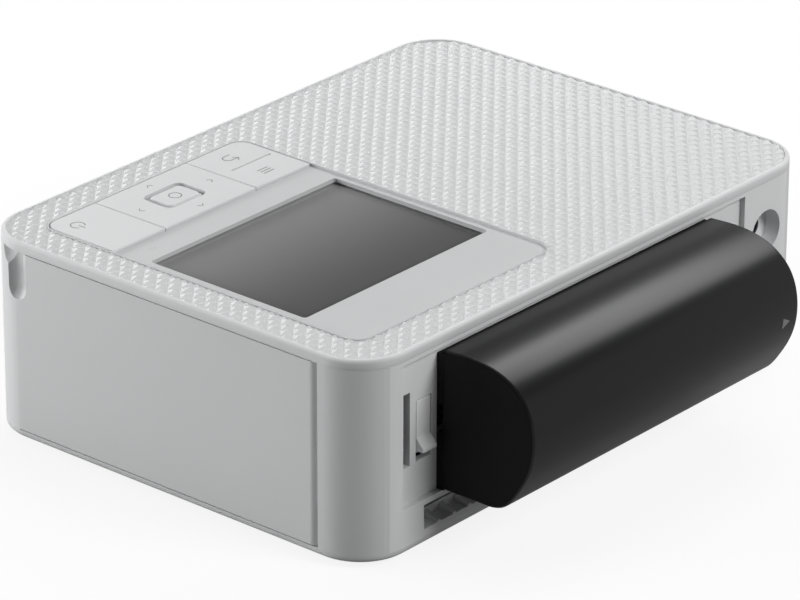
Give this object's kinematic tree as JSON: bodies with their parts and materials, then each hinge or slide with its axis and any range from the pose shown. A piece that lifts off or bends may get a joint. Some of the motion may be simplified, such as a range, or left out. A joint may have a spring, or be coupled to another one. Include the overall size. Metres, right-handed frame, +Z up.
{
  "type": "compact photo printer",
  "caption": "Flat rounded photo printer with tilted-view screen, keys on the lid, side ink door, front paper flap and a D-shaped battery pack on the back.",
  "frame": {"origin": "middle of the whole footprint, battery pack included, on the table", "axes": "+X to the printer's right side (the ink door), +Y to the back (the battery pack), +Z up"},
  "size_m": [0.1822, 0.1627, 0.0576],
  "materials": {
    "case": "fine satin moulding",
    "lid": "satin with a fine raised diamond lattice",
    "panel": "smooth semi-gloss",
    "keys": "smooth semi-gloss",
    "base": "fine texture",
    "glass": "clear window",
    "screen": "switched-off grey screen",
    "battery_case": "satin near-black",
    "cells": "shrink wrap",
    "rubber_feet": "matt",
    "roller_rubber": "ground rubber",
    "belt": "moulded",
    "steel": "bright drawn",
    "plate_steel": "zinc plated",
    "mechanism": "black moulding",
    "gear_plastic": "natural acetal",
    "ink_shell": "dark grey moulding",
    "ribbon": "coated film",
    "heat_sink": "extruded",
    "board": "green solder mask",
    "lamp": "frosted light guide"
  },
  "bodies": {
    "printer": {"base_plate": "base", "feet": "rubber_feet", "case_screws": "steel", "main_case": "case", "front_fascia": "case", "flap_pins": "steel", "door_pins": "steel", "top_cover": "lid", "rear_panel": "case", "dc_jack": "mechanism", "battery_terminals": "mechanism", "control_panel": "panel", "key_mat": "roller_rubber", "key_board": "board", "display_window": "glass", "display_module": "screen", "status_lamp": "lamp", "left_side_plate": "plate_steel", "right_side_plate": "plate_steel", "feed_belt": "belt", "idler_axle": "steel", "feed_motor": "plate_steel", "motor_bracket": "plate_steel", "eject_pin": "steel", "head_shaft": "steel", "bay_deck": "mechanism", "exit_guide": "mechanism", "main_board": "board", "card_reader": "plate_steel", "usb_socket": "plate_steel"},
    "battery": {"battery_shell": "battery_case", "battery_base": "battery_case", "battery_cells": "cells"},
    "release_lever": {"release_lever": "case"},
    "ink_door": {"ink_door": "case"},
    "front_flap": {"front_flap": "case"},
    "power_key": {"power_key": "keys"},
    "menu_back_key": {"menu_back_key": "keys"},
    "nav_pivot_ring": {"nav_pivot_ring": "mechanism"},
    "nav_rocker": {"nav_rocker": "keys"},
    "ok_key": {"ok_key": "keys"},
    "platen": {"platen_roller": "roller_rubber", "platen_gear": "gear_plastic"},
    "capstan": {"capstan_roller": "steel", "capstan_gear": "gear_plastic"},
    "pinch_roller": {"pinch_roller": "steel"},
    "pickup": {"pickup_roller": "roller_rubber", "pickup_pulley": "gear_plastic"},
    "idler_gear": {"idler_gear": "gear_plastic"},
    "take_up_drive": {"take_up_gear": "gear_plastic"},
    "motor_pinion": {"motor_pinion": "steel"},
    "ink_cassette": {"ink_cassette": "ink_shell", "ribbon_web": "ribbon"},
    "supply_spool": {"supply_spool": "gear_plastic", "supply_roll": "ribbon"},
    "take_up_spool": {"take_up_spool": "gear_plastic", "take_up_roll": "ribbon"},
    "eject_lever": {"eject_lever": "mechanism"},
    "print_head": {"head_bracket": "plate_steel", "thermal_head": "heat_sink"}
  },
  "joints": [
    {"name": "battery_slide", "type": "slide", "parent": "printer", "child": "battery", "axis": [-1, 0, 0], "range_m": [0, 0.0095]},
    {"name": "release_slide", "type": "slide", "parent": "printer", "child": "release_lever", "axis": [0, 0, -1], "range_m": [0, 0.002], "stiffness_N_per_m": 300},
    {"name": "door_hinge", "type": "hinge", "parent": "printer", "child": "ink_door", "pos_m": [0.0889, 0.03315, 0.0288], "axis": [0, 0, 1], "range_deg": [0, 95]},
    {"name": "flap_hinge", "type": "hinge", "parent": "printer", "child": "front_flap", "pos_m": [0.0055, -0.07975, 0.0079], "axis": [1, 0, 0], "range_deg": [0, 90]},
    {"name": "power_press", "type": "slide", "parent": "printer", "child": "power_key", "axis": [0, 0, -1], "range_m": [0, 0.0006], "stiffness_N_per_m": 600},
    {"name": "menu_back_rock", "type": "hinge", "parent": "printer", "child": "menu_back_key", "pos_m": [0.0136, -0.057, 0.0561], "axis": [1, 0, 0], "range_deg": [-1.2, 1.2], "stiffness_Nm_per_rad": 0.2},
    {"name": "nav_lean_side", "type": "hinge", "parent": "printer", "child": "nav_pivot_ring", "pos_m": [0.0423, -0.05708, 0.0555], "axis": [0, 1, 0], "range_deg": [-1.2, 1.2], "stiffness_Nm_per_rad": 0.2},
    {"name": "nav_lean_fore", "type": "hinge", "parent": "nav_pivot_ring", "child": "nav_rocker", "pos_m": [0.0423, -0.05708, 0.0555], "axis": [1, 0, 0], "range_deg": [-1.2, 1.2], "stiffness_Nm_per_rad": 0.2},
    {"name": "ok_press", "type": "slide", "parent": "printer", "child": "ok_key", "axis": [0, 0, -1], "range_m": [0, 0.0006], "stiffness_N_per_m": 600},
    {"name": "platen_spin", "type": "hinge", "parent": "printer", "child": "platen", "pos_m": [0, -0.01485, 0.0175], "axis": [1, 0, 0], "continuous": true},
    {"name": "capstan_spin", "type": "hinge", "parent": "printer", "child": "capstan", "pos_m": [0, -0.00335, 0.0176], "axis": [1, 0, 0], "continuous": true},
    {"name": "pinch_spin", "type": "hinge", "parent": "printer", "child": "pinch_roller", "pos_m": [0, -0.00335, 0.0229], "axis": [1, 0, 0], "continuous": true},
    {"name": "pickup_spin", "type": "hinge", "parent": "printer", "child": "pickup", "pos_m": [0, -0.05935, 0.0245], "axis": [1, 0, 0], "continuous": true},
    {"name": "idler_spin", "type": "hinge", "parent": "printer", "child": "idler_gear", "pos_m": [-0.059, -0.0091, 0.02855], "axis": [1, 0, 0], "continuous": true},
    {"name": "take_up_drive_spin", "type": "hinge", "parent": "printer", "child": "take_up_drive", "pos_m": [-0.059, 0.01096, 0.03404], "axis": [1, 0, 0], "continuous": true},
    {"name": "motor_spin", "type": "hinge", "parent": "printer", "child": "motor_pinion", "pos_m": [-0.059, -0.01949, 0.03455], "axis": [1, 0, 0], "continuous": true},
    {"name": "cassette_slide", "type": "slide", "parent": "printer", "child": "ink_cassette", "axis": [1, 0, 0], "range_m": [0, 0.0038]},
    {"name": "supply_spin", "type": "hinge", "parent": "ink_cassette", "child": "supply_spool", "pos_m": [0, -0.03685, 0.033], "axis": [1, 0, 0], "continuous": true},
    {"name": "take_up_spin", "type": "hinge", "parent": "ink_cassette", "child": "take_up_spool", "pos_m": [0, 0.01096, 0.03404], "axis": [1, 0, 0], "continuous": true},
    {"name": "eject_hinge", "type": "hinge", "parent": "printer", "child": "eject_lever", "pos_m": [0.0773, -0.06085, 0.033], "axis": [0, 0, -1], "range_deg": [0, 19.01]},
    {"name": "head_swing", "type": "hinge", "parent": "printer", "child": "print_head", "pos_m": [0, 0.02915, 0.044], "axis": [1, 0, 0], "range_deg": [0, 4.2]}
  ],
  "couplings": [
    {"joint": "capstan_spin", "follows": "platen_spin", "ratio": 1},
    {"joint": "pinch_spin", "follows": "platen_spin", "ratio": -1.5},
    {"joint": "pickup_spin", "follows": "platen_spin", "ratio": 1},
    {"joint": "idler_spin", "follows": "platen_spin", "ratio": -0.55},
    {"joint": "take_up_drive_spin", "follows": "platen_spin", "ratio": 0.34375},
    {"joint": "motor_spin", "follows": "platen_spin", "ratio": 1.1},
    {"joint": "take_up_spin", "follows": "platen_spin", "ratio": 0.34375},
    {"joint": "supply_spin", "follows": "platen_spin", "ratio": -0.23633},
    {"joint": "eject_hinge", "follows": "cassette_slide", "rad_per_m": 87.266}
  ]
}
